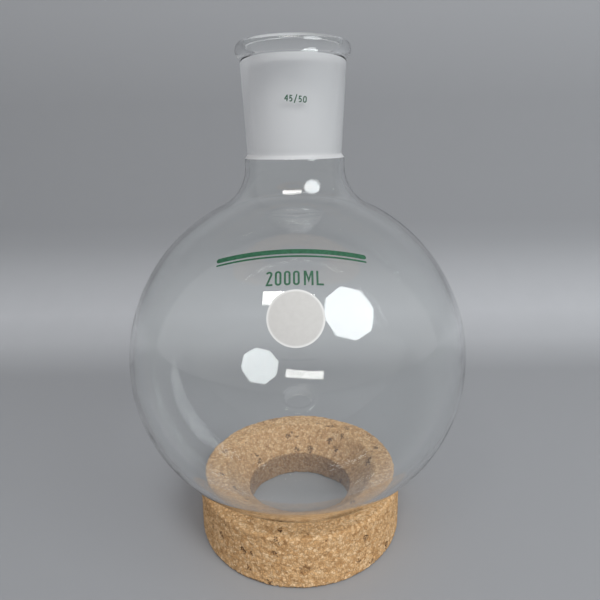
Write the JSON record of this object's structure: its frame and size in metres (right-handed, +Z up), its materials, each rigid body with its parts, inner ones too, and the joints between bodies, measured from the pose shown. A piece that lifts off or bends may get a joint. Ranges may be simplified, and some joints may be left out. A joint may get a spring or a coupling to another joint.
{
  "type": "round bottom flask on a cork ring",
  "caption": "Round-bottom borosilicate flask with a short ground-glass neck joint and enamel marks, resting in the conical seat of a pressed cork ring.",
  "frame": {"origin": "on the bench under the flask's axis, at the middle of the cork ring's underside", "axes": "+Z up along the flask's axis, -Y towards the side with the enamel marks"},
  "size_m": [0.166, 0.166, 0.2442],
  "materials": {
    "cork": "pressed cork granules, dry and matt, with dark specks and open pores",
    "clear_glass": "clear borosilicate, fire-polished",
    "ground_glass": "clear wall with a finely ground, frosted bore",
    "white_enamel": "fired white ceramic enamel, satin, for pencil marks",
    "green_enamel": "fired dark green ceramic enamel, thin and slightly glossy"
  },
  "bodies": {
    "ring": {"cork_ring": "cork"},
    "flask": {"flask_bulb": "clear_glass", "ground_joint": "ground_glass", "marking_spot": "white_enamel", "capacity_digit_2": "green_enamel", "capacity_digit_0_left": "green_enamel", "capacity_digit_0_middle": "green_enamel", "capacity_digit_0_right": "green_enamel", "capacity_letter_m": "green_enamel", "capacity_letter_l": "green_enamel", "joint_size_digit_4": "green_enamel", "joint_size_digit_5_left": "green_enamel", "joint_size_slash": "green_enamel", "joint_size_digit_5_right": "green_enamel", "joint_size_digit_0": "green_enamel", "wide_stripe": "green_enamel", "thin_stripe": "green_enamel"}
  },
  "joints": [
    {"name": "flask_lift", "type": "slide", "parent": "ring", "child": "flask", "axis": [0, 0, 1], "range_m": [0, 0.1]}
  ]
}
